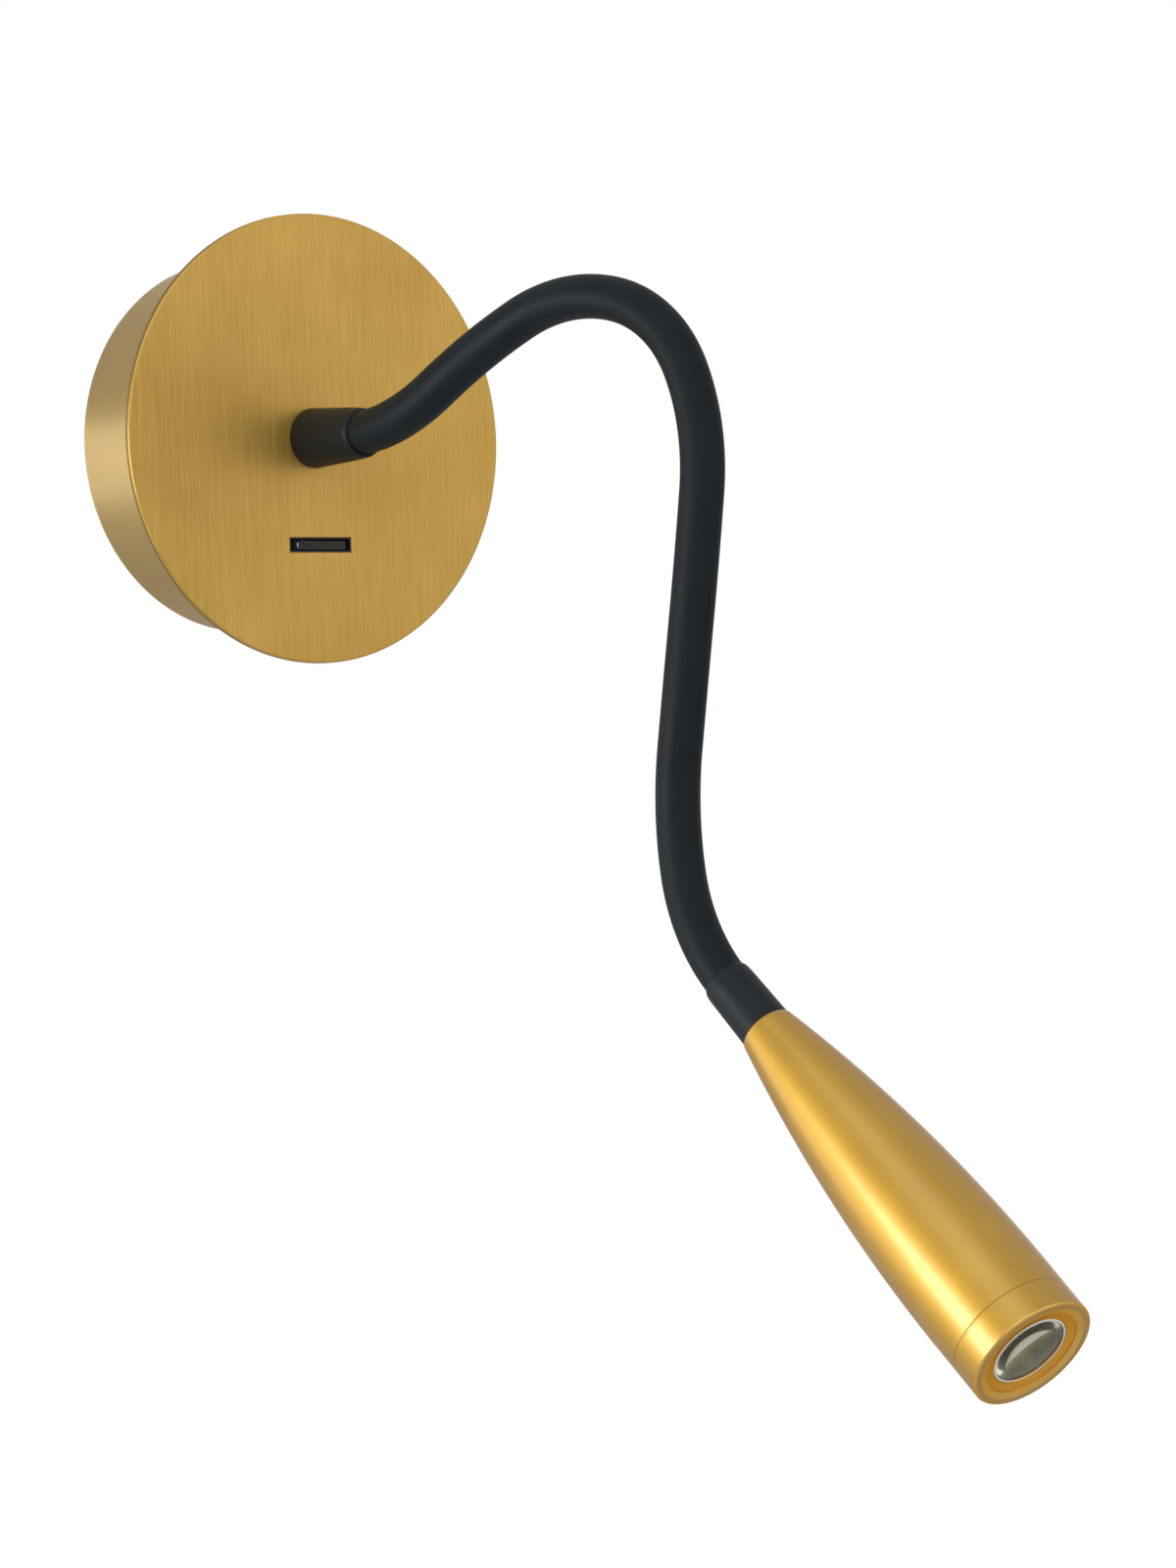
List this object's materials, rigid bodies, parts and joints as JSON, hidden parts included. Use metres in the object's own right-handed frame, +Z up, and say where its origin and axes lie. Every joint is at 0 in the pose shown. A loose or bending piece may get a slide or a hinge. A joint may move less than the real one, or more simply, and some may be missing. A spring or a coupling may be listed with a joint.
{
  "type": "flexible arm wall light",
  "caption": "Wall light with a round brushed cover plate, a small rocker switch, a sleeved bendable arm and a tapered spot head.",
  "frame": {"origin": "centre of the casing's and the bracket's rear face, on the wall", "axes": "+Y into the wall, +Z up the wall; the cover plate faces -Y and the arm stands out towards -Y"},
  "size_m": [0.1, 0.2538, 0.2664],
  "materials": {
    "plate_gold": "satin",
    "casing_gold": "satin",
    "bracket_steel": "satin",
    "fixing_steel": "gloss",
    "screw_gold": "satin",
    "grommet_rubber": "matte",
    "block_plastic": "satin",
    "driver_plastic": "matte",
    "switch_plastic": "satin",
    "rocker_plastic": "satin",
    "mark_paint": "matte",
    "fitting_brass": "satin",
    "core_steel": "satin",
    "sleeve_rubber": "matte",
    "collar_rubber": "matte",
    "head_gold": "satin",
    "sink_aluminium": "satin",
    "board_white": "matte",
    "chip_yellow": "gloss",
    "holder_plastic": "satin",
    "gasket_rubber": "matte",
    "lens_clear": "polished"
  },
  "bodies": {
    "base": {"cover_plate": "plate_gold", "stud_nut_left": "fixing_steel", "stud_nut_right": "fixing_steel", "casing_shell": "casing_gold", "wall_bracket": "bracket_steel", "side_screw_top": "screw_gold", "side_screw_bottom": "screw_gold", "cable_grommet": "grommet_rubber", "terminal_block": "block_plastic", "driver_case": "driver_plastic", "switch_housing": "switch_plastic", "neck_fitting": "fitting_brass", "neck_washer": "fixing_steel", "neck_nut": "fixing_steel", "base_collar": "collar_rubber", "core_root": "core_steel", "sleeve_1": "sleeve_rubber"},
    "switch": {"switch_rocker": "rocker_plastic", "switch_mark": "mark_paint"},
    "link_1": {"core_1": "core_steel", "sleeve_2": "sleeve_rubber"},
    "link_2": {"core_2": "core_steel", "sleeve_3": "sleeve_rubber"},
    "link_3": {"core_3": "core_steel", "sleeve_4": "sleeve_rubber"},
    "link_4": {"core_4": "core_steel", "sleeve_5": "sleeve_rubber"},
    "link_5": {"core_5": "core_steel", "sleeve_6": "sleeve_rubber"},
    "link_6": {"core_6": "core_steel", "sleeve_7": "sleeve_rubber"},
    "link_7": {"core_7": "core_steel", "sleeve_8": "sleeve_rubber"},
    "link_8": {"core_8": "core_steel", "sleeve_9": "sleeve_rubber"},
    "head": {"core_tip": "core_steel", "head_fitting": "fitting_brass", "head_collar": "collar_rubber", "head_shell": "head_gold", "heat_sink": "sink_aluminium", "led_board": "board_white", "led_chip": "chip_yellow", "lens_holder": "holder_plastic", "lens_gasket": "gasket_rubber", "lens": "lens_clear", "front_ring": "head_gold"}
  },
  "joints": [
    {"name": "neck_bend_1", "type": "hinge", "parent": "base", "child": "link_1", "pos_m": [0.00087, -0.05965, 0.00211], "axis": [-0.9239, 0, 0.3827], "range_deg": [-10, 20], "deforming": ["sleeve_1"]},
    {"name": "neck_bend_2", "type": "hinge", "parent": "link_1", "child": "link_2", "pos_m": [0.0067, -0.08309, 0.01561], "axis": [-0.0288, 0.5039, 0.8633], "range_deg": [-15, 15], "deforming": ["sleeve_2"]},
    {"name": "neck_bend_3", "type": "hinge", "parent": "link_2", "child": "link_3", "pos_m": [0.01334, -0.10793, 0.02558], "axis": [-0.9706, -0.2206, 0.0964], "range_deg": [-5, 25], "deforming": ["sleeve_3"]},
    {"name": "neck_bend_4", "type": "hinge", "parent": "link_3", "child": "link_4", "pos_m": [0.01848, -0.13361, 0.01857], "axis": [0.2118, -0.5923, 0.7774], "range_deg": [-15, 15], "deforming": ["sleeve_4"]},
    {"name": "neck_bend_5", "type": "hinge", "parent": "link_4", "child": "link_5", "pos_m": [0.01915, -0.14695, -0.00517], "axis": [-0.9706, -0.2206, 0.0964], "range_deg": [-5, 25], "deforming": ["sleeve_5"]},
    {"name": "neck_bend_6", "type": "hinge", "parent": "link_5", "child": "link_6", "pos_m": [0.01659, -0.14771, -0.03274], "axis": [0.2148, -0.9743, -0.0677], "range_deg": [-15, 15], "deforming": ["sleeve_6"]},
    {"name": "neck_bend_7", "type": "hinge", "parent": "link_6", "child": "link_7", "pos_m": [0.01351, -0.14622, -0.06033], "axis": [-0.9706, -0.2206, 0.0964], "range_deg": [-10, 25], "deforming": ["sleeve_7"]},
    {"name": "neck_bend_8", "type": "hinge", "parent": "link_7", "child": "link_8", "pos_m": [0.01068, -0.14583, -0.08795], "axis": [0.2282, -0.9707, 0.0755], "range_deg": [-15, 15], "deforming": ["sleeve_8"]},
    {"name": "neck_bend_9", "type": "hinge", "parent": "link_8", "child": "head", "pos_m": [0.00986, -0.15326, -0.11449], "axis": [-0.9535, -0.2804, 0.1103], "range_deg": [-15, 25], "deforming": ["sleeve_9"]},
    {"name": "switch_rock", "type": "hinge", "parent": "base", "child": "switch", "pos_m": [0.0008, -0.0256, -0.0237], "axis": [0, 0, -1], "range_deg": [0, 8]}
  ]
}
